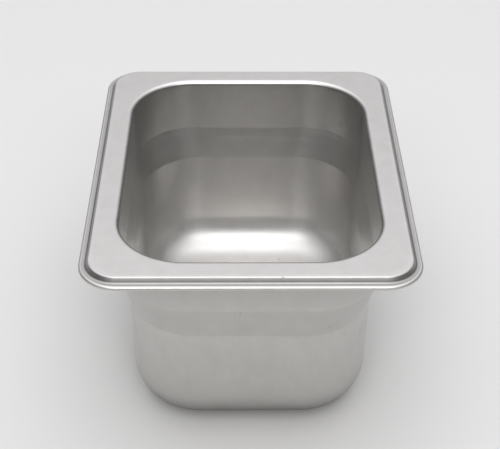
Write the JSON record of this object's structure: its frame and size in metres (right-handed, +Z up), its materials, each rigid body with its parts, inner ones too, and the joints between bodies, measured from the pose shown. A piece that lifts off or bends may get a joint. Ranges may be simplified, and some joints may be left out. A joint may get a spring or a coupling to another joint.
{
  "type": "deli food pan",
  "caption": "Deep-drawn stainless steel food pan with a stepped flat rim, hung in a deli well or stood on its flat base.",
  "frame": {"origin": "centre of the flat base's underside, on the surface that the pan stands on", "axes": "+Z up out of the opening, +Y along the longer side of the rim, +X along the shorter side"},
  "size_m": [0.144, 0.176, 0.1016],
  "materials": {
    "stainless": "satin"
  },
  "bodies": {
    "root": {"pan": "stainless"}
  },
  "joints": []
}
